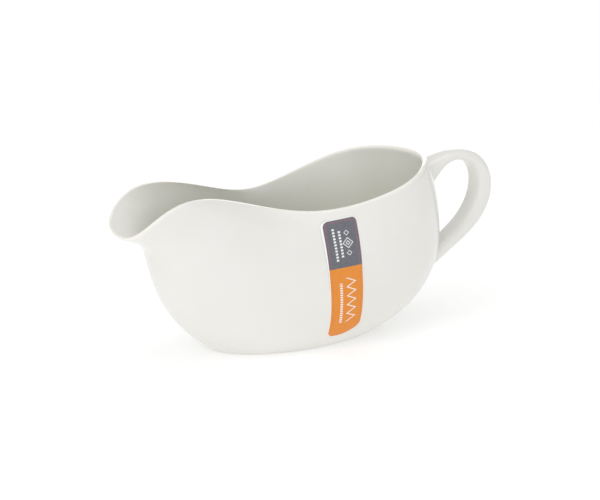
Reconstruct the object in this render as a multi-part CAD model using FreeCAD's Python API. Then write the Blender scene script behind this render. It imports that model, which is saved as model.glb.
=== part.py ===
import FreeCAD, Part
import math
import os

# A porcelain gravy boat: a slip-cast vessel with a pouring spout at one end, a loop handle
# luted on at the other, and a paper sticker on one side. Millimetres, +Z up, base at z = 0,
# handle towards +X, spout towards -X, sticker on the -Y side.

# --- vessel -------------------------------------------------------------------------------
WALL = 3.2          # thickness of the porcelain wall
LIP_TAPER = 1.1     # how much thinner the lip is than the wall, taken off the inside
TAPER_RUN = 60.0    # the lip thins from nothing at the handle to all of it this far along
FLOOR = 5.5         # height of the inside floor above the table
FLOOR_INSET = 10.0  # how far in from the foot the level part of the floor ends
FOOT_RING = 4.0     # width of the foot ring that touches the table
RECESS = 1.6        # depth of the recess inside the foot ring
FOOT_EDGE = 0.8     # rounding of the foot's outer edge
TOOL_TOP = 110.0    # height of the solid used to trim what is stuck to the wall

# Control points of the lip's centre line from the handle end round to the tip of the spout.
# The other side is its mirror image.
LIP = (
    (58.7, 0.0, 78.3),
    (49.7, 19.5, 79.0),
    (34.8, 34.9, 75.3),
    (11.2, 34.1, 68.1),
    (-12.0, 26.8, 64.1),
    (-33.4, 15.0, 67.8),
    (-56.9, 15.8, 75.5),
    (-78.6, 22.2, 76.0),
    (-93.6, 17.3, 61.0),
    (-94.4, 0.0, 58.3),
)

# Ovals that control the belly, from the foot up: back end, front end, half width, height as
# a share of the lip's height, how much of the lip's own outline is mixed in, and how much
# fuller the back half is than the front.
BELLY = (
    (33.7, -52.1, 22.0, 0.00, 0.00, -0.07),
    (51.5, -60.9, 29.4, 0.10, 0.00, 0.00),
    (64.5, -72.0, 34.1, 0.28, 0.08, 0.00),
    (68.1, -78.4, 36.8, 0.52, 0.25, 0.02),
    (65.9, -81.2, 38.0, 0.75, 0.50, -0.01),
    (62.8, -82.0, 38.2, 0.92, 0.80, -0.01),
)

# --- handle -------------------------------------------------------------------------------
# Control points of the strap from the upper root to the lower one: x, z, width and thickness.
STRAP = (
    (54.2, 66.0, 15.0, 17.0),
    (62.2, 71.4, 13.5, 9.5),
    (70.2, 76.6, 11.8, 4.6),
    (80.7, 77.2, 11.5, 6.0),
    (89.8, 70.8, 11.5, 7.8),
    (92.5, 58.6, 11.5, 10.6),
    (86.8, 45.1, 11.5, 9.1),
    (74.5, 35.6, 11.8, 6.8),
    (62.4, 28.4, 13.5, 7.3),
    (52.2, 23.2, 15.5, 10.5),
)
STRAP_CORNER = 0.88     # 1 for a square-shouldered strap, 0.7 for an oval one
STRAP_PULL = 0.96       # how far the surface reaches towards its control points

# --- sticker ------------------------------------------------------------------------------
STICKER_W = 16.8
STICKER_H = 56.0
STICKER_T = 0.2
STICKER_BOW = 1.2       # how far both ends curve towards the spout
STICKER_R = 3.0         # corner radius
STICKER_LOW_R = 6.0     # radius of the lower corner on the handle's side
STICKER_X = 0.05        # middle of the sticker
STICKER_Z = 34.8
STICKER_LEAN = 4.6      # degrees, top towards the spout


def unit(v):
    return v.multiply(1.0 / v.Length)


def oval(back, front, half, fuller):
    """Control points of one half of an oval, from its back end to its front end."""
    ring = []
    for i in range(len(LIP)):
        a = math.pi * i / (len(LIP) - 1)
        x = (back + front) / 2 + (back - front) / 2 * math.cos(a)
        y = half * math.sin(a) * (1 + fuller * math.cos(a))
        ring.append(FreeCAD.Vector(x, y, 0))
    return ring


def mirrored(ring):
    """The whole closed ring of control points from its half."""
    other = [FreeCAD.Vector(p.x, -p.y, p.z) for p in ring[-2:0:-1]]
    return ring + other


def wall_rings():
    """The rings of control points of the vessel's outer face, from the foot to the lip's middle."""
    widest = max(p[1] for p in LIP)
    plain = oval(LIP[0][0], LIP[-1][0], widest, 0)
    rings = []
    for back, front, half, share, mix, fuller in BELLY:
        ring = oval(back, front, half, fuller)
        for p, q, r in zip(ring, LIP, plain):
            p.x += mix * (q[0] - r.x)
            p.y += mix * (q[1] - r.y)
            p.z = share * q[2]
        rings.append(mirrored(ring))
    rings.append(mirrored([FreeCAD.Vector(*p) for p in LIP]))
    return rings


def outward(ring, i):
    """The level direction that points away from a ring at one of its points."""
    ahead = ring[(i + 1) % len(ring)]
    along = ahead - ring[i - 1]
    return unit(FreeCAD.Vector(along.y, -along.x, 0))


def square_to(direction, along):
    """The part of a direction that is square to another."""
    a = unit(FreeCAD.Vector(along))
    return unit(direction - a * direction.dot(a))


def outer_rings():
    """The outer face's rings, with the top one moved out to the lip's outer side."""
    rings = wall_rings()
    top = []
    for i, p in enumerate(rings[-1]):
        away = outward(rings[-1], i)
        rise = p + away * (WALL / 2) - rings[-2][i]
        top.append(p + square_to(away, rise) * (WALL / 2))
    return rings[:-1] + [top]


def shifted_rings(rings, distance, base):
    """Rings moved square to the wall, outwards if the distance is positive, on a level base."""
    moved = []
    for j, ring in enumerate(rings):
        low = rings[max(j - 1, 0)]
        high = rings[min(j + 1, len(rings) - 1)]
        new = []
        for i, p in enumerate(ring):
            away = square_to(outward(ring, i), high[i] - low[i])
            new.append(p + away * distance)
        moved.append(new)
    for p in moved[0]:
        p.z = base
    return moved


def foot_oval(inset):
    """The foot's outline, moved in by some distance."""
    back, front, half, share, mix, fuller = BELLY[0]
    return mirrored(oval(back - inset, front + inset, half - inset, fuller))


def thinned(x):
    """How much is taken off the inside of the lip."""
    return LIP_TAPER * min((LIP[0][0] - x) / TAPER_RUN, 1)


def inner_rings(outer):
    """The rings of the inside face, a wall's thickness in, which curve on to the level floor."""
    rings = shifted_rings(outer, -WALL, FLOOR)
    for p in rings[1]:
        p.z = max(p.z, FLOOR + 1.0)
    rings[-1] = [p + unit(q - p) * thinned(p.x) for p, q in zip(rings[-1], outer[-1])]
    middle = foot_oval(FLOOR_INSET)
    for p in middle:
        p.z = FLOOR
    return [middle] + rings


def lip_rings(outer, inner):
    """The half-round edge that joins the outside to the inside."""
    crown_out = []
    crown_in = []
    for p, below, q in zip(outer[-1], outer[-2], inner[-1]):
        up = unit(p - below)
        reach = up * (WALL * 2 / 3)
        crown_out.append(p + reach)
        crown_in.append(q + reach)
    return [outer[-1], crown_out, crown_in, inner[-1]]


def skin(rings):
    """A smooth face through closed rings of control points."""
    across = len(rings)
    degree = min(3, across - 1)
    spans = across - degree
    knots = [i / spans for i in range(spans + 1)]
    ends = [degree + 1] + [1] * (spans - 1) + [degree + 1]
    around = len(rings[0])
    poles = [[ring[i] for ring in rings] for i in range(around)]
    surface = Part.BSplineSurface()
    surface.buildFromPolesMultsKnots(
        poles, [1] * (around + 1), ends, [float(i) for i in range(around + 1)], knots, True, False, 3, degree
    )
    return surface.toShape()


def level_face(ring):
    """A flat face inside one closed ring of control points."""
    curve = Part.BSplineCurve()
    around = len(ring)
    curve.buildFromPolesMultsKnots(
        ring, [1] * (around + 1), [float(i) for i in range(around + 1)], True, 3
    )
    return Part.Face(Part.Wire(curve.toShape()))


def closed(faces):
    """A solid from the faces that bound it."""
    shell = Part.makeShell(faces)
    shell.sewShape()
    solid = Part.Solid(Part.Shell(shell.Faces))
    if solid.Volume < 0:
        solid.reverse()
    return solid


def filled(rings):
    """The vessel's outside as one full block that runs on straight up above the lip."""
    top = [FreeCAD.Vector(p.x, p.y, TOOL_TOP) for p in rings[-1]]
    return closed([level_face(rings[0]), skin(rings), skin([rings[-1], top]), level_face(top)])


def foot_recess():
    """The shallow hollow that leaves only a ring of the base on the table."""
    return level_face(foot_oval(FOOT_RING)).extrude(FreeCAD.Vector(0, 0, RECESS))


def boat_body(outer):
    inner = inner_rings(outer)
    faces = [level_face(outer[0]), skin(outer), skin(lip_rings(outer, inner)), skin(inner)]
    faces.append(level_face(inner[0]))
    body = closed(faces).cut(foot_recess())
    underside = [e for e in body.Edges if e.BoundBox.ZMax < FOOT_EDGE / 2]
    rim_of_foot = max(underside, key=lambda e: e.Length)
    return single(body).makeFillet(FOOT_EDGE, [rim_of_foot])


def strap_rings():
    """Rings of control points round the handle's strap, each flat and square to its run."""
    rings = []
    for i, (x, z, width, thick) in enumerate(STRAP):
        before = STRAP[max(i - 1, 0)]
        after = STRAP[min(i + 1, len(STRAP) - 1)]
        run = unit(FreeCAD.Vector(after[0] - before[0], 0, after[1] - before[1]))
        side = FreeCAD.Vector(0, width / 2 / STRAP_PULL, 0)
        out = FreeCAD.Vector(-run.z, 0, run.x) * (thick / 2 / STRAP_PULL)
        middle = FreeCAD.Vector(x, 0, z)
        c = STRAP_CORNER
        turns = ((1, 0), (c, c), (0, 1), (-c, c), (-1, 0), (-c, -c), (0, -1), (c, -c))
        rings.append([middle + side * a + out * b for a, b in turns])
    return rings


def handle(outer):
    rings = strap_rings()
    strap = closed([level_face(rings[0]), skin(rings), level_face(rings[-1])])
    return strap.cut(filled(outer))


def upright_edges(prism):
    return [e for e in prism.Edges if abs(e.BoundBox.YLength - TOOL_TOP) < 0.01]


def sticker_outline():
    """A prism with bowed sides and rounded corners that reaches through the vessel's -Y side."""
    w = STICKER_W / 2
    h = STICKER_H / 2
    corners = [(-w, -h), (w, -h), (w, h), (-w, h)]
    low_left, low_right, top_right, top_left = [FreeCAD.Vector(x - STICKER_BOW, 0, z) for x, z in corners]
    right = Part.Arc(low_right, FreeCAD.Vector(w, 0, 0), top_right).toShape()
    left = Part.Arc(top_left, FreeCAD.Vector(-w, 0, 0), low_left).toShape()
    bottom = Part.makeLine(low_left, low_right)
    top = Part.makeLine(top_right, top_left)
    prism = Part.Face(Part.Wire([bottom, right, top, left])).extrude(FreeCAD.Vector(0, -TOOL_TOP, 0))
    others = sorted(upright_edges(prism), key=lambda e: e.BoundBox.XMax - e.BoundBox.ZMax)[:-1]
    prism = prism.makeFillet(STICKER_R, others)
    last = max(upright_edges(prism), key=lambda e: e.BoundBox.XMax - e.BoundBox.ZMax)
    prism = prism.makeFillet(STICKER_LOW_R, [last])
    prism.rotate(FreeCAD.Vector(0, 0, 0), FreeCAD.Vector(0, 1, 0), -STICKER_LEAN)
    prism.translate(FreeCAD.Vector(STICKER_X, 0, STICKER_Z))
    return prism


def paper_label(outer):
    proud = filled(shifted_rings(outer, STICKER_T, 0))
    return sticker_outline().common(proud).cut(filled(outer))


def single(shape):
    """The one solid of a shape."""
    return max(shape.Solids, key=lambda s: s.Volume)


def save(shape, node):
    single(shape).exportStep("parts/" + node + ".step")


os.makedirs("parts", exist_ok=True)
outside = outer_rings()
save(boat_body(outside), "boat_body")
save(handle(outside), "handle")
save(paper_label(outside), "paper_label")
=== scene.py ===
import math

import bmesh
import bpy
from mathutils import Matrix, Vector


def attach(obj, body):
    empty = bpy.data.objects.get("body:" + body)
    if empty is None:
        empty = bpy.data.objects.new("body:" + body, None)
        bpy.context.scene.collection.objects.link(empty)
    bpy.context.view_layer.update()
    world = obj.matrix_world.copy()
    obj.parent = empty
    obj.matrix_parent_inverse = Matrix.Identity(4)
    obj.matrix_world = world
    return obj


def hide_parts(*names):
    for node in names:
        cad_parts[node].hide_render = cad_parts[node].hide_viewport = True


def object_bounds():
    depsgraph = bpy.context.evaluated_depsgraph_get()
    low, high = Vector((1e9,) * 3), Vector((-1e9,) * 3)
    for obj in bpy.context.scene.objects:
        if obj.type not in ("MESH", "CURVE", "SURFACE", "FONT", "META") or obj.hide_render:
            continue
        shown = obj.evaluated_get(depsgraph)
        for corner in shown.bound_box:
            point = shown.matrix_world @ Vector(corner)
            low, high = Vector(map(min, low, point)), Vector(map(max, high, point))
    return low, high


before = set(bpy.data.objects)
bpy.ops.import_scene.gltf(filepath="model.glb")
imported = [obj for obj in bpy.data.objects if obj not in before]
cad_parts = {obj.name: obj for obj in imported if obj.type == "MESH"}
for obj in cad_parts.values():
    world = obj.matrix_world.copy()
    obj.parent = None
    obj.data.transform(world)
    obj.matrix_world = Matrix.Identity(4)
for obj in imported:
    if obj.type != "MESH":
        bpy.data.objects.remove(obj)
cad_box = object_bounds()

# ------------------------------------------------------------------------------------------
# The camera. A long lens looks slightly down on the boat from the spout side, with the
# spout to the left and the handle to the right.
# ------------------------------------------------------------------------------------------
MM = 0.001
LOOK_AT = Vector((-5.8, 0.0, 40.5)) * MM
CAMERA_AWAY = 0.9
CAMERA_AZIMUTH = -28.0
CAMERA_HEIGHT = 16.5
LENS = 118.0
SENSOR = 36.0
NEAREST_SEEN = 0.01


def towards(azimuth, height):
    """The direction out to something at an azimuth and a height angle, in degrees."""
    a = math.radians(azimuth)
    e = math.radians(height)
    return Vector((math.sin(a) * math.cos(e), -math.cos(a) * math.cos(e), math.sin(e)))


camera_data = bpy.data.cameras.new("camera")
camera_data.lens = LENS
camera_data.sensor_width = SENSOR
camera_data.clip_start = NEAREST_SEEN
camera = bpy.data.objects.new("camera", camera_data)
bpy.context.scene.collection.objects.link(camera)
towards_camera = towards(CAMERA_AZIMUTH, CAMERA_HEIGHT)
camera.location = LOOK_AT + towards_camera * CAMERA_AWAY
camera.rotation_euler = towards_camera.to_track_quat("Z", "Y").to_euler()
bpy.context.scene.camera = camera
bpy.context.scene.view_settings.view_transform = "Standard"

# ------------------------------------------------------------------------------------------
# The studio: a white room and a pale table top that glows a little, with large soft lamps
# all round the boat.
# ------------------------------------------------------------------------------------------
WHITE = (1.0, 1.0, 1.0, 1.0)
TABLE_WIDE = 12.0
TABLE_COLOUR = (0.72, 0.72, 0.72, 1.0)
TABLE_ROUGH = 0.9
TABLE_SPECULAR = 0.1
TABLE_GLOW = 0.37
ROOM_STRENGTH = 0.57
LAMP_TARGET = Vector((0.0, 0.0, 0.04))
LAMPS = (
    # name, azimuth, height angle, distance, width, watts
    ("soft_front_low", -28, 8, 1.6, 0.9, 2.1),
    ("soft_front", -28, 30, 1.6, 0.9, 2.0),
    ("soft_left_low", -80, 12, 1.6, 0.9, 1.7),
    ("soft_left", -75, 40, 1.6, 0.9, 3.4),
    ("soft_right", 30, 12, 1.6, 0.9, 1.3),
    ("soft_top", 0, 88, 1.5, 1.2, 5.8),
    ("soft_back", 150, 12, 1.8, 1.0, 4.4),
)

bpy.ops.object.select_all(action="DESELECT")
bpy.ops.mesh.primitive_plane_add(size=TABLE_WIDE, location=(0, 0, cad_box[0][2]))
table = bpy.context.object
table.name = "table_top"
table_paint = bpy.data.materials.new("table_top")
table_paint.use_nodes = True
table_shader = table_paint.node_tree.nodes["Principled BSDF"]
table_shader.inputs["Base Color"].default_value = TABLE_COLOUR
table_shader.inputs["Roughness"].default_value = TABLE_ROUGH
table_shader.inputs["Specular IOR Level"].default_value = TABLE_SPECULAR
table_shader.inputs["Emission Color"].default_value = WHITE
table_shader.inputs["Emission Strength"].default_value = TABLE_GLOW
table.data.materials.append(table_paint)

room = bpy.data.worlds.new("white_room")
room.use_nodes = True
room.node_tree.nodes["Background"].inputs["Color"].default_value = WHITE
room.node_tree.nodes["Background"].inputs["Strength"].default_value = ROOM_STRENGTH
bpy.context.scene.world = room

for name, azimuth, height, distance, width, watts in LAMPS:
    lamp_data = bpy.data.lights.new(name, "AREA")
    lamp_data.shape = "SQUARE"
    lamp_data.size = width
    lamp_data.energy = watts
    lamp = bpy.data.objects.new(name, lamp_data)
    bpy.context.scene.collection.objects.link(lamp)
    lamp.location = LAMP_TARGET + towards(azimuth, height) * distance
    lamp.rotation_euler = towards(azimuth, height).to_track_quat("Z", "Y").to_euler()

# ------------------------------------------------------------------------------------------
# The vessel. One porcelain casting: a narrow oval foot, a full belly, a dipping rim with a
# half-round lip, and a spout that flares out at the front. The lip's outline is set point by
# point, and the belly is a stack of ovals that take on more of that outline as they rise.
# ------------------------------------------------------------------------------------------
# the middle of the lip, from the handle end to the spout end, on the +Y side
LIP = (
    (58.7, 0.0, 78.3),
    (49.7, 19.5, 79.0),
    (34.8, 34.9, 75.3),
    (11.2, 34.1, 68.1),
    (-12.0, 26.8, 64.1),
    (-33.4, 15.0, 67.8),
    (-56.9, 15.8, 75.5),
    (-78.6, 22.2, 76.0),
    (-93.6, 17.3, 61.0),
    (-94.4, 0.0, 58.3),
)
# back end, front end, half width, share of the lip's height, share of the lip's outline,
# and how much fuller the back half is
BELLY = (
    (33.7, -52.1, 22.0, 0.00, 0.00, -0.07),
    (51.5, -60.9, 29.4, 0.10, 0.00, 0.00),
    (64.5, -72.0, 34.1, 0.28, 0.08, 0.00),
    (68.1, -78.4, 36.8, 0.52, 0.25, 0.02),
    (65.9, -81.2, 38.0, 0.75, 0.50, -0.01),
    (62.8, -82.0, 38.2, 0.92, 0.80, -0.01),
)
WALL = 3.2
FLOOR = 5.5
FLOOR_INSET = 10.0
# the least that the second ring of the inside wall stands above the floor
FLOOR_RISE = 1.0
# insets of the rings that close the floor
FLOOR_RINGS = (12.5, 17.0)
RECESS = 1.6
FOOT_RING = 4.0
# height and inset of each ring under the boat, from the recess out to the edge of the foot
UNDERSIDE = (
    (RECESS, 14.0),
    (RECESS, FOOT_RING + 1.2),
    (RECESS - 0.2, FOOT_RING + 0.2),
    (0.3, FOOT_RING - 0.1),
    (0.0, FOOT_RING - 0.9),
    (0.0, 1.2),
    (0.12, 0.25),
)
# how far up the wall each ring of points sits, outside and inside
OUTSIDE_STEPS = (0.02, 0.07, 0.15, 0.25, 0.36, 0.47, 0.58, 0.69, 0.79, 0.88, 0.95)
INSIDE_STEPS = (0.975, 0.94, 0.88, 0.79, 0.69, 0.58, 0.47, 0.36, 0.25, 0.16, 0.09, 0.04)
# how much the wall thins on the inside of the lip, how far from the handle it takes to thin
# fully, and how far up the wall the thinning starts
LIP_TAPER = 1.1
TAPER_RUN = 60.0
TAPER_START = 0.85
# angles round the lip's half circle, the one at its crest, and how much further out its
# points stand, because smoothing draws them in
LIP_ANGLES = (0, 45, 90, 135, 180)
LIP_CREST = 90
LIP_REACH = 1.108
SPLINE_DEGREE = 3
VESSEL_SMOOTH = 3


def oval(back, front, half, fuller=0.0, height=0.0, inset=0.0):
    """Half an oval of points from the handle end to the spout end."""
    points = []
    for i in range(len(LIP)):
        turn = math.pi * i / (len(LIP) - 1)
        x = (back + front) / 2 + ((back - front) / 2 - inset) * math.cos(turn)
        y = (half - inset) * math.sin(turn) * (1 + fuller * math.cos(turn))
        points.append(Vector((x, y, height)))
    return points


def both_sides(points):
    """A closed ring from its half, which lies on the +Y side."""
    return points + [Vector((p.x, -p.y, p.z)) for p in points[-2:0:-1]]


def foot_oval(height, inset):
    """A closed ring in the shape of the foot, drawn in by an inset."""
    back, front, half, fuller = BELLY[0][:3] + BELLY[0][-1:]
    return both_sides(oval(back, front, half, fuller, height, inset))


def outward(ring, i):
    """The level direction away from a ring at one of its points."""
    along = ring[(i + 1) % len(ring)] - ring[i - 1]
    return Vector((along.y, -along.x, 0)).normalized()


def square_to(direction, along):
    """A direction turned until it is square to another one."""
    along = along.normalized()
    return (direction - along * direction.dot(along)).normalized()


def wall_at(rings, share):
    """The ring of points at a share of the way up a wall, on a spline that its rings steer."""
    spans = len(rings) - SPLINE_DEGREE
    ends = SPLINE_DEGREE + 1
    knots = [0.0] * ends + [k / spans for k in range(1, spans)] + [1.0] * ends
    span = min(int(share * spans), spans - 1)
    near = [[p.copy() for p in ring] for ring in rings[span:span + ends]]
    for level in range(1, ends):
        for k in range(SPLINE_DEGREE, level - 1, -1):
            low = knots[span + k]
            high = knots[span + k + ends - level]
            mix = (share - low) / (high - low)
            near[k] = [a.lerp(b, mix) for a, b in zip(near[k - 1], near[k])]
    return near[-1]


def thinned(x):
    """How much is taken off the inside of the lip."""
    return LIP_TAPER * min((LIP[0][0] - x) / TAPER_RUN, 1)


lip_ring = both_sides([Vector(p) for p in LIP])
plain_lip = oval(LIP[0][0], LIP[-1][0], max(p[1] for p in LIP))
outer = []
for back, front, half, height_share, outline_share, fuller in BELLY:
    level = oval(back, front, half, fuller)
    for p, on_lip, plain in zip(level, LIP, plain_lip):
        p.x += outline_share * (on_lip[0] - plain.x)
        p.y += outline_share * (on_lip[1] - plain.y)
        p.z = height_share * on_lip[2]
    outer.append(both_sides(level))
lip_out = []
for i, p in enumerate(lip_ring):
    away = outward(lip_ring, i)
    rise = p + away * (WALL / 2) - outer[-1][i]
    lip_out.append(square_to(away, rise) * (WALL / 2))
outer.append([p + out for p, out in zip(lip_ring, lip_out)])

inner = []
for j, ring in enumerate(outer):
    below = outer[max(j - 1, 0)]
    above = outer[min(j + 1, len(outer) - 1)]
    through_wall = [square_to(outward(ring, i), above[i] - below[i]) for i in range(len(ring))]
    inner.append([p - through * WALL for p, through in zip(ring, through_wall)])
for p in inner[0]:
    p.z = FLOOR
for p in inner[1]:
    p.z = max(p.z, FLOOR + FLOOR_RISE)
inner.insert(0, foot_oval(FLOOR, FLOOR_INSET))

rings = [foot_oval(height, inset) for height, inset in UNDERSIDE]
for step in OUTSIDE_STEPS:
    rings.append(wall_at(outer, step))
LIP_MARK = len(rings) + LIP_ANGLES.index(LIP_CREST)
for angle in LIP_ANGLES:
    turn = math.radians(angle)
    around = []
    for i, (p, out) in enumerate(zip(lip_ring, lip_out)):
        upward = (outer[-1][i] - outer[-2][i]).normalized()
        sideways = out * math.cos(turn)
        if angle > LIP_CREST:
            sideways *= 1 - thinned(p.x) / (WALL / 2)
        around.append(p + (sideways + upward * (WALL / 2) * math.sin(turn)) * LIP_REACH)
    rings.append(around)
for step in INSIDE_STEPS:
    fade = max((step - TAPER_START) / (1 - TAPER_START), 0) ** 2
    wall = wall_at(inner, step)
    rings.append([p + out.normalized() * thinned(p.x) * fade for p, out in zip(wall, lip_out)])
rings.append(inner[0])
for inset in FLOOR_RINGS:
    rings.append(foot_oval(FLOOR, inset))


def start_ring(name, ring):
    """A flat disc with its edge on the first ring of points, open in edit mode."""
    bpy.ops.object.select_all(action="DESELECT")
    bpy.ops.mesh.primitive_circle_add(vertices=len(ring), fill_type="NGON")
    piece = bpy.context.object
    piece.name = name
    bpy.ops.object.mode_set(mode="EDIT")
    bpy.ops.mesh.select_mode(type="EDGE")
    bpy.ops.mesh.select_all(action="SELECT")
    work = bmesh.from_edit_mesh(piece.data)
    work.verts.layers.float.new("along")
    for v, p in zip(work.verts, ring):
        v.co = p * MM
    bmesh.update_edit_mesh(piece.data)
    return piece


def pull_ring(piece, last, ring, along):
    """Extrudes the open edge, moves its points to the next ring and marks how far along it is."""
    bpy.ops.mesh.extrude_edges_move()
    work = bmesh.from_edit_mesh(piece.data)
    marks = work.verts.layers.float["along"]
    for v in [v for v in work.verts if v.select]:
        i = min(range(len(last)), key=lambda k: (v.co - last[k] * MM).length_squared)
        v.co = ring[i] * MM
        v[marks] = along
    bmesh.update_edit_mesh(piece.data)


def close_ring(piece, smooth_levels):
    """Fills the open edge, turns the faces outwards and smooths the piece."""
    bpy.ops.mesh.edge_face_add()
    bpy.ops.mesh.select_all(action="SELECT")
    bpy.ops.mesh.normals_make_consistent(inside=False)
    bpy.ops.object.mode_set(mode="OBJECT")
    smooth = piece.modifiers.new("smooth", "SUBSURF")
    smooth.levels = smooth_levels
    smooth.render_levels = smooth_levels
    bpy.ops.object.modifier_apply(modifier=smooth.name)
    bpy.ops.object.shade_smooth()


vessel = start_ring("vessel", rings[0])
for number, (last, ring) in enumerate(zip(rings, rings[1:]), 1):
    pull_ring(vessel, last, ring, number)
close_ring(vessel, VESSEL_SMOOTH)

# The glaze: clear over off-white porcelain, a little creamy where it runs thin on the lip, where
# the crest is also made lighter as painted highlight; lighter just inside the lip as painted light;
# and grey-green where it lies thick inside, darker deep down as painted shade. The foot ring is
# wiped bare and stays matt.
GLAZED = (0.80, 0.79, 0.76, 1.0)
# creamy thin glaze on the lip, made lighter than the glaze outside as painted highlight
THIN_GLAZE_AND_HIGHLIGHT = (0.86, 0.835, 0.775, 1.0)
# painted light: the inside wall below the lip is lighter than the same glaze outside
INSIDE_PAINTED_LIGHT = (0.86, 0.85, 0.81, 1.0)
# grey-green pooled glaze, made darker deep inside as painted shade
POOLED_GLAZE_AND_SHADE = (0.70, 0.70, 0.63, 1.0)
CLOUDED_GLAZE = (0.765, 0.765, 0.70, 1.0)
BARE_PORCELAIN = (0.78, 0.74, 0.68, 1.0)
GLAZE_IOR = 1.5
# places along the rings: where the foot is bare and how soft its edges are, how far either
# side of the crest the glaze is thin and the painted highlight lies, and how far past it the
# painted light inside and the pool with its painted shade begin
BARE_RINGS = (2.6, 6.4)
BARE_SOFT = 0.3
THIN_AND_HIGHLIGHT_RINGS = (2.0, 0.4)
INSIDE_LIGHT_RINGS = (0.5, 2.5)
POOLED_AND_SHADE_RINGS = (3.0, 9.0)
# the noise in the glaze: clouds to a metre and their detail
MOTTLE = (45.0, 3.0)
RIPPLE = (260.0, 2.0)
GRIT = (4200.0, 3.0)
CLOUDED_BAND = (0.35, 0.65)
CLOUDED_MOST = 0.35
SHINE_BAND = (0.3, 0.7)
GLAZE_ROUGH = (0.10, 0.17)
BARE_ROUGH = 0.6
RIPPLE_DEEP = 0.03
GRIT_DEEP = 0.05
GLAZE_BUMP = 0.35
GLAZE_BUMP_DEEP = 1.0 * MM

# soft noise on the piece's own coordinates, which the glaze and the paper both use
soft_cloud = bpy.data.node_groups.new("soft_cloud", "ShaderNodeTree")
soft_cloud.interface.new_socket("Fineness", in_out="INPUT", socket_type="NodeSocketFloat")
soft_cloud.interface.new_socket("Detail", in_out="INPUT", socket_type="NodeSocketFloat")
soft_cloud.interface.new_socket("Cloud", in_out="OUTPUT", socket_type="NodeSocketFloat")
cloud_in = soft_cloud.nodes.new("NodeGroupInput")
cloud_out = soft_cloud.nodes.new("NodeGroupOutput")
cloud_place = soft_cloud.nodes.new("ShaderNodeTexCoord")
cloud_noise = soft_cloud.nodes.new("ShaderNodeTexNoise")
soft_cloud.links.new(cloud_in.outputs["Fineness"], cloud_noise.inputs["Scale"])
soft_cloud.links.new(cloud_in.outputs["Detail"], cloud_noise.inputs["Detail"])
soft_cloud.links.new(cloud_place.outputs["Object"], cloud_noise.inputs["Vector"])
soft_cloud.links.new(cloud_noise.outputs["Fac"], cloud_out.inputs["Cloud"])


def cloud(tree, fineness, detail):
    """Places the soft cloud in a material."""
    placed = tree.nodes.new("ShaderNodeGroup")
    placed.node_tree = soft_cloud
    placed.inputs["Fineness"].default_value = fineness
    placed.inputs["Detail"].default_value = detail
    return placed.outputs["Cloud"]


def blend_colours(tree, factor, low, high):
    """A colour mix whose ends are colours or sockets."""
    mix = tree.nodes.new("ShaderNodeMix")
    mix.data_type = "RGBA"
    tree.links.new(factor, mix.inputs["Factor"])
    for end, value in (("A", low), ("B", high)):
        if isinstance(value, tuple):
            mix.inputs[end].default_value = value
        else:
            tree.links.new(value, mix.inputs[end])
    return mix.outputs["Result"]


def ramp_between(tree, value, band, gives=(0.0, 1.0)):
    """A smooth step of a value across a band, from the first number it gives to the second."""
    step = tree.nodes.new("ShaderNodeMapRange")
    step.interpolation_type = "SMOOTHSTEP"
    step.inputs["From Min"].default_value = band[0]
    step.inputs["From Max"].default_value = band[1]
    step.inputs["To Min"].default_value = gives[0]
    step.inputs["To Max"].default_value = gives[1]
    tree.links.new(value, step.inputs["Value"])
    return step.outputs["Result"]


def arithmetic(tree, kind, first, second=0.0):
    """One sum on sockets or numbers."""
    sum_node = tree.nodes.new("ShaderNodeMath")
    sum_node.operation = kind
    for i, value in enumerate((first, second)):
        if isinstance(value, (int, float)):
            sum_node.inputs[i].default_value = value
        else:
            tree.links.new(value, sum_node.inputs[i])
    return sum_node.outputs["Value"]


def add_bump(tree, height, strength, depth):
    """A bump on a material's surface."""
    bump = tree.nodes.new("ShaderNodeBump")
    bump.inputs["Strength"].default_value = strength
    bump.inputs["Distance"].default_value = depth
    tree.links.new(height, bump.inputs["Height"])
    tree.links.new(bump.outputs["Normal"], tree.nodes["Principled BSDF"].inputs["Normal"])


glaze = bpy.data.materials.new("porcelain_glaze")
glaze.use_nodes = True
pot = glaze.node_tree
pot_shader = pot.nodes["Principled BSDF"]
pot_shader.inputs["IOR"].default_value = GLAZE_IOR
mark = pot.nodes.new("ShaderNodeAttribute")
mark.attribute_name = "along"
along = mark.outputs["Fac"]
past_lip = arithmetic(pot, "SUBTRACT", along, LIP_MARK)
# the lip's crest: creamy thin glaze and a painted highlight
thin_and_highlight = ramp_between(pot, arithmetic(pot, "ABSOLUTE", past_lip), THIN_AND_HIGHLIGHT_RINGS)
# painted light on the inside wall just below the lip
inside = ramp_between(pot, past_lip, INSIDE_LIGHT_RINGS)
# pooled glaze deep inside, darkened as painted shade
pooled_and_shade = ramp_between(pot, past_lip, POOLED_AND_SHADE_RINGS)
bare = arithmetic(
    pot, "MULTIPLY",
    ramp_between(pot, along, (BARE_RINGS[0], BARE_RINGS[0] + BARE_SOFT)),
    ramp_between(pot, along, (BARE_RINGS[1], BARE_RINGS[1] - BARE_SOFT)),
)
mottle = cloud(pot, *MOTTLE)
ripple = cloud(pot, *RIPPLE)
grit = cloud(pot, *GRIT)
clouded = ramp_between(pot, mottle, CLOUDED_BAND, (0.0, CLOUDED_MOST))
colour = blend_colours(pot, inside, GLAZED, INSIDE_PAINTED_LIGHT)
colour = blend_colours(pot, thin_and_highlight, colour, THIN_GLAZE_AND_HIGHLIGHT)
colour = blend_colours(pot, clouded, colour, CLOUDED_GLAZE)
colour = blend_colours(pot, pooled_and_shade, colour, POOLED_GLAZE_AND_SHADE)
colour = blend_colours(pot, bare, colour, BARE_PORCELAIN)
pot.links.new(colour, pot_shader.inputs["Base Color"])
shine = ramp_between(pot, mottle, SHINE_BAND, GLAZE_ROUGH)
matt = arithmetic(pot, "MULTIPLY", bare, BARE_ROUGH)
pot.links.new(arithmetic(pot, "ADD", shine, matt), pot_shader.inputs["Roughness"])
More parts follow.
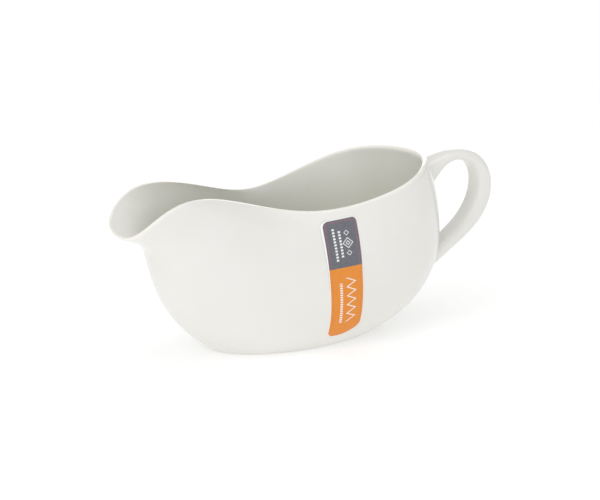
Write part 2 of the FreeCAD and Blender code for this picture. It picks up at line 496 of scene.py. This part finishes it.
bare_grit = arithmetic(pot, "MULTIPLY", grit, bare)
surface = arithmetic(
    pot, "ADD",
    arithmetic(pot, "MULTIPLY", ripple, RIPPLE_DEEP),
    arithmetic(pot, "MULTIPLY", bare_grit, GRIT_DEEP),
)
add_bump(pot, surface, GLAZE_BUMP, GLAZE_BUMP_DEEP)
vessel.data.materials.append(glaze)
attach(vessel, "root")
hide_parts("boat_body")

# ------------------------------------------------------------------------------------------
# The handle. A rounded porcelain strap bent into a loop, cast on its own and luted on with
# slip, so both roots swell a little where they run into the wall.
# ------------------------------------------------------------------------------------------
# middle of the strap along X and Z, width across and thickness, from the upper root down
STRAP = (
    (62.2, 71.4, 13.5, 9.5),
    (70.2, 76.6, 11.8, 4.6),
    (80.7, 77.2, 11.5, 6.0),
    (89.8, 70.8, 11.5, 7.8),
    (92.5, 58.6, 11.5, 10.5),
    (86.8, 45.1, 11.5, 9.1),
    (74.5, 35.6, 11.8, 6.8),
    (65.5, 30.1, 12.8, 7.1),
)
# the same for each end, which lies inside the vessel and only aims the strap at its wall
UPPER_ROOT = (54.2, 66.0, 15.0, 17.0)
LOWER_ROOT = (52.2, 23.2, 15.5, 10.5)
# how square the section's corners are, and how far smoothing draws the strap in
STRAP_CORNER = 0.88
STRAP_PULL = 0.96
# the fillet of slip: how far it spreads, how far its corners are drawn in, how far its edge
# stands off the wall, and how deep the strap runs on into the wall
ROOT_SWELL = 0.6
ROOT_CORNER = 0.9
ROOT_PROUD = 0.05
ROOT_SUNK = 1.4
# the strap is glazed as the plain outside of the vessel is, well short of the lip
STRAP_MARK = LIP_MARK - 10
STRAP_SMOOTH = 4


def strap_ring(before, here, after):
    """The ring of points round the strap at one place along it."""
    x, z, width, thick = here
    run = Vector((after[0] - before[0], 0, after[1] - before[1])).normalized()
    side = Vector((0, width / 2 / STRAP_PULL, 0))
    out = Vector((-run.z, 0, run.x)) * (thick / 2 / STRAP_PULL)
    c = STRAP_CORNER
    turns = ((1, 0), (c, c), (0, 1), (-c, c), (-1, 0), (-c, -c), (0, -1), (c, -c))
    return [Vector((x, 0, z)) + side * a + out * b for a, b in turns]


def root_rings(strap, inside):
    """Two rings for an end of the strap: sunk in the wall, and swollen where it meets it."""
    landed = []
    for p, q in zip(strap, inside):
        landed.append(vessel.ray_cast(p * MM, (q - p).normalized())[1] / MM)
    middle = sum(landed, Vector()) / len(landed)
    landed[1::2] = [middle + (p - middle) * ROOT_CORNER for p in landed[1::2]]
    swollen = []
    sunk = []
    for p in landed:
        wide = p + (p - middle).normalized() * ROOT_SWELL
        place, normal = vessel.closest_point_on_mesh(wide * MM)[1:3]
        swollen.append(place / MM + normal * ROOT_PROUD)
        sunk.append(place / MM - normal * ROOT_SUNK)
    return [sunk, swollen]


path = (UPPER_ROOT,) + STRAP + (LOWER_ROOT,)
loop = [strap_ring(a, b, c) for a, b, c in zip(path, path[1:], path[2:])]
upper_end = root_rings(loop[0], strap_ring(path[0], path[0], path[1]))
lower_end = root_rings(loop[-1], strap_ring(path[-2], path[-1], path[-1]))
loop = upper_end + loop + lower_end[::-1]
strap = start_ring("strap_handle", loop[0])
for last, ring in zip(loop, loop[1:]):
    pull_ring(strap, last, ring, STRAP_MARK)
close_ring(strap, STRAP_SMOOTH)
strap.data.materials.append(glaze)
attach(strap, "root")
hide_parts("handle")

# ------------------------------------------------------------------------------------------
# The sticker. A strip of printed self-adhesive paper with rounded corners, pressed on to the
# side of the vessel, grey above and orange below, with a thin unprinted white edge.
# ------------------------------------------------------------------------------------------
STICKER_WIDE = 16.8
STICKER_HIGH = 56.0
STICKER_THICK = 0.14
STICKER_X = 0.2
STICKER_Z = 34.8
STICKER_LEAN = 4.8
# how far in front of the vessel it starts, and the gap of glue that is left behind it
STICKER_START = 60.0
STICKER_GLUE = 0.02
CORNER = 3.0
CELL = 0.6
# how far both ends sit to the left of the middle
STICKER_BOW = 1.2
# how much the upper end is turned and narrowed
UPPER_TURN = 0.08
UPPER_TAPER = 0.07
# how far the lower end sweeps up, and where across the half width its lowest point is
LOWER_SWEEP = 2.1
LOWEST_POINT = -0.35
# how far the left edge stands off the wall, and where across the half width that starts
EDGE_LIFT = 0.18
EDGE_START = 0.75

bpy.ops.object.select_all(action="DESELECT")
bpy.ops.mesh.primitive_grid_add(
    x_subdivisions=round(STICKER_WIDE / CELL),
    y_subdivisions=round(STICKER_HIGH / CELL),
    size=1.0,
)
sticker = bpy.context.object
sticker.name = "paper_sticker"
sticker.scale = (STICKER_WIDE * MM, STICKER_HIGH * MM, 1.0)
bpy.ops.object.transform_apply(location=False, rotation=False, scale=True)
work = bmesh.new()
work.from_mesh(sticker.data)
half_wide = STICKER_WIDE / 2 * MM
half_high = STICKER_HIGH / 2 * MM
radius = CORNER * MM
# the square of cells at each corner is drawn in to a quarter of a disc
for v in work.verts:
    a = (abs(v.co.x) - half_wide + radius) / radius
    b = (abs(v.co.y) - half_high + radius) / radius
    if a > 0 and b > 0:
        v.co.x = math.copysign(half_wide - radius + radius * a * math.sqrt(1 - b * b / 2), v.co.x)
        v.co.y = math.copysign(half_high - radius + radius * b * math.sqrt(1 - a * a / 2), v.co.y)
print_map = work.loops.layers.uv.new("print")
for face in work.faces:
    for corner in face.loops:
        corner[print_map].uv = (corner.vert.co.x / MM, corner.vert.co.y / MM)
for v in work.verts:
    end = v.co.y / half_high
    side = v.co.x / half_wide
    v.co.y += UPPER_TURN * v.co.x * max(end, 0) ** 2
    v.co.y += LOWER_SWEEP * MM * max(-end, 0) ** 4 * (side - LOWEST_POINT) ** 2
    v.co.x *= 1 - UPPER_TAPER * max(end, 0) ** 2
    v.co.x -= STICKER_BOW * MM * end ** 2
work.to_mesh(sticker.data)
work.free()
sticker.rotation_euler = (math.radians(90), -math.radians(STICKER_LEAN), 0)
sticker.location = Vector((STICKER_X, -STICKER_START, STICKER_Z)) * MM
bpy.ops.object.transform_apply(location=True, rotation=True, scale=True)
press = sticker.modifiers.new("press", "SHRINKWRAP")
press.target = vessel
press.wrap_method = "PROJECT"
press.use_project_y = True
press.use_positive_direction = True
press.use_negative_direction = False
press.wrap_mode = "ABOVE_SURFACE"
press.offset = STICKER_GLUE * MM
bpy.ops.object.modifier_apply(modifier=press.name)
for v in sticker.data.vertices:
    to_left = (STICKER_X * MM - v.co.x) / half_wide
    lift = min(max((to_left - EDGE_START) / (1 - EDGE_START), 0), 1) ** 2
    v.co.y -= EDGE_LIFT * MM * lift
paper = sticker.modifiers.new("paper", "SOLIDIFY")
paper.thickness = STICKER_THICK * MM
paper.offset = 1.0
bpy.ops.object.modifier_apply(modifier=paper.name)
bpy.ops.object.shade_smooth()

# The print, in millimetres from the middle of the sticker: a slate panel above an orange one,
# each with plain ornament only.
PAPER_WHITE = (0.93, 0.925, 0.91, 1.0)
SLATE_INK = (0.128, 0.132, 0.155, 1.0)
ORANGE_INK = (0.755, 0.250, 0.018, 1.0)
KEYLINE_INK = (0.32, 0.10, 0.15, 1.0)
PAPER_SPECULAR = 0.3
# height of the line between the panels, width of the white edge, and the print's own turn
PANEL_EDGE = 5.5
UNPRINTED = 0.4
PRINT_TURN = 0.023
# the thin line inside the edge: how far in, half its width, and how strong on each panel
KEYLINE_INSET = 1.45
KEYLINE_HALF = 0.2
KEYLINE_ON_ORANGE = 0.2
KEYLINE_ON_SLATE = 0.8
WHITE_STRENGTH = 0.88
# middle across, middle up, half diagonal and half line width
LOZENGES = (
    (2.8, 16.4, 2.3, 0.22),
    (2.8, 16.4, 0.9, 0.22),
    (2.8, 21.0, 1.1, 0.18),
    (2.8, 11.8, 1.1, 0.18),
)
# middle across, lower end, upper end, width, pitch and the share of the pitch that is inked
DASH_ROWS = (
    (-0.5, 10.2, 22.8, 1.1, 1.4, 0.62),
    (-3.1, 8.8, 24.2, 1.1, 1.4, 0.62),
    (-2.8, -20.7, -1.6, 1.3, 1.1, 0.6),
)
# middle across, lower end, upper end, swing from side to side, pitch and half line width
ZIGZAG = (2.1, -20.9, 0.6, 4.2, 4.3, 0.46)
# the noise in the paper: clouds to a metre and their detail
FIBRE = (1500.0, 4.0)
CREASE = (120.0, 2.0)
FIBRE_BAND = (0.3, 0.8)
FIBRE_MOST = 0.06
PAPER_ROUGH = (0.34, 0.46)
CREASE_DEEP = 0.3
FIBRE_DEEP = 0.03
PAPER_BUMP = 0.5
PAPER_BUMP_DEEP = 0.4 * MM

print_paper = bpy.data.materials.new("printed_paper")
print_paper.use_nodes = True
sheet = print_paper.node_tree
sheet_shader = sheet.nodes["Principled BSDF"]
sheet_shader.inputs["Specular IOR Level"].default_value = PAPER_SPECULAR
flat_place = sheet.nodes.new("ShaderNodeUVMap")
flat_place.uv_map = "print"
split = sheet.nodes.new("ShaderNodeSeparateXYZ")
sheet.links.new(flat_place.outputs["UV"], split.inputs["Vector"])
across = split.outputs["X"]
up = split.outputs["Y"]


def maths(kind, first, second=0.0):
    """One sum in the print."""
    return arithmetic(sheet, kind, first, second)


def apart(value, place):
    """How far a value is from a place."""
    return maths("ABSOLUTE", maths("SUBTRACT", value, place))


def bar(middle_across, middle_up, wide, high):
    """A printed rectangle."""
    a = maths("LESS_THAN", apart(across, middle_across), wide / 2)
    b = maths("LESS_THAN", apart(up, middle_up), high / 2)
    return maths("MULTIPLY", a, b)


def lozenge(middle_across, middle_up, size, stroke):
    """The printed outline of a diamond."""
    out = maths("ADD", apart(across, middle_across), apart(up, middle_up))
    return maths("LESS_THAN", apart(out, size), stroke)


def dashes(middle_across, low, high, wide, pitch, filled):
    """A printed row of dashes that runs up the strip."""
    phase = maths("FRACT", maths("DIVIDE", maths("SUBTRACT", up, low), pitch))
    row = bar(middle_across, (low + high) / 2, wide, high - low)
    return maths("MULTIPLY", maths("LESS_THAN", phase, filled), row)


def zigzag(middle_across, low, high, swing, pitch, stroke):
    """A printed zigzag that runs up the strip."""
    wave = maths("DIVIDE", maths("PINGPONG", maths("SUBTRACT", up, low), pitch / 2), pitch / 2)
    centre = maths("ADD", maths("MULTIPLY", wave, swing), middle_across - swing / 2)
    line = maths("LESS_THAN", apart(across, centre), stroke)
    return maths("MULTIPLY", line, bar(0.0, (low + high) / 2, STICKER_WIDE, high - low))


beyond_corner = sheet.nodes.new("ShaderNodeCombineXYZ")
turned = maths("SUBTRACT", across, maths("MULTIPLY", maths("MAXIMUM", up, 0.0), PRINT_TURN))
for i, (value, half) in enumerate(((turned, STICKER_WIDE / 2), (up, STICKER_HIGH / 2))):
    past = maths("SUBTRACT", maths("ABSOLUTE", value), half - CORNER)
    sheet.links.new(maths("MAXIMUM", past, 0.0), beyond_corner.inputs[i])
reach = sheet.nodes.new("ShaderNodeVectorMath")
reach.operation = "LENGTH"
sheet.links.new(beyond_corner.outputs["Vector"], reach.inputs[0])
from_edge = maths("SUBTRACT", CORNER, reach.outputs["Value"])
unprinted = maths("LESS_THAN", from_edge, UNPRINTED)
panel = maths("GREATER_THAN", up, PANEL_EDGE)
keyline = maths("LESS_THAN", apart(from_edge, KEYLINE_INSET), KEYLINE_HALF)
more_on_slate = maths("MULTIPLY", panel, KEYLINE_ON_SLATE - KEYLINE_ON_ORANGE)
keyline = maths("MULTIPLY", keyline, maths("ADD", more_on_slate, KEYLINE_ON_ORANGE))
white = zigzag(*ZIGZAG)
for row in DASH_ROWS:
    white = maths("MAXIMUM", white, dashes(*row))
for row in LOZENGES:
    white = maths("MAXIMUM", white, lozenge(*row))
fibre = cloud(sheet, *FIBRE)
crease = cloud(sheet, *CREASE)
worn = ramp_between(sheet, fibre, FIBRE_BAND, (0.0, FIBRE_MOST))
ink = blend_colours(sheet, panel, ORANGE_INK, SLATE_INK)
ink = blend_colours(sheet, keyline, ink, KEYLINE_INK)
ink = blend_colours(sheet, maths("MULTIPLY", white, WHITE_STRENGTH), ink, PAPER_WHITE)
ink = blend_colours(sheet, worn, ink, PAPER_WHITE)
ink = blend_colours(sheet, unprinted, ink, PAPER_WHITE)
sheet.links.new(ink, sheet_shader.inputs["Base Color"])
paper_shine = ramp_between(sheet, fibre, SHINE_BAND, PAPER_ROUGH)
sheet.links.new(paper_shine, sheet_shader.inputs["Roughness"])
creases = maths("ADD", maths("MULTIPLY", crease, CREASE_DEEP), maths("MULTIPLY", fibre, FIBRE_DEEP))
add_bump(sheet, creases, PAPER_BUMP, PAPER_BUMP_DEEP)
sticker.data.materials.append(print_paper)
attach(sticker, "root")
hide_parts("paper_label")
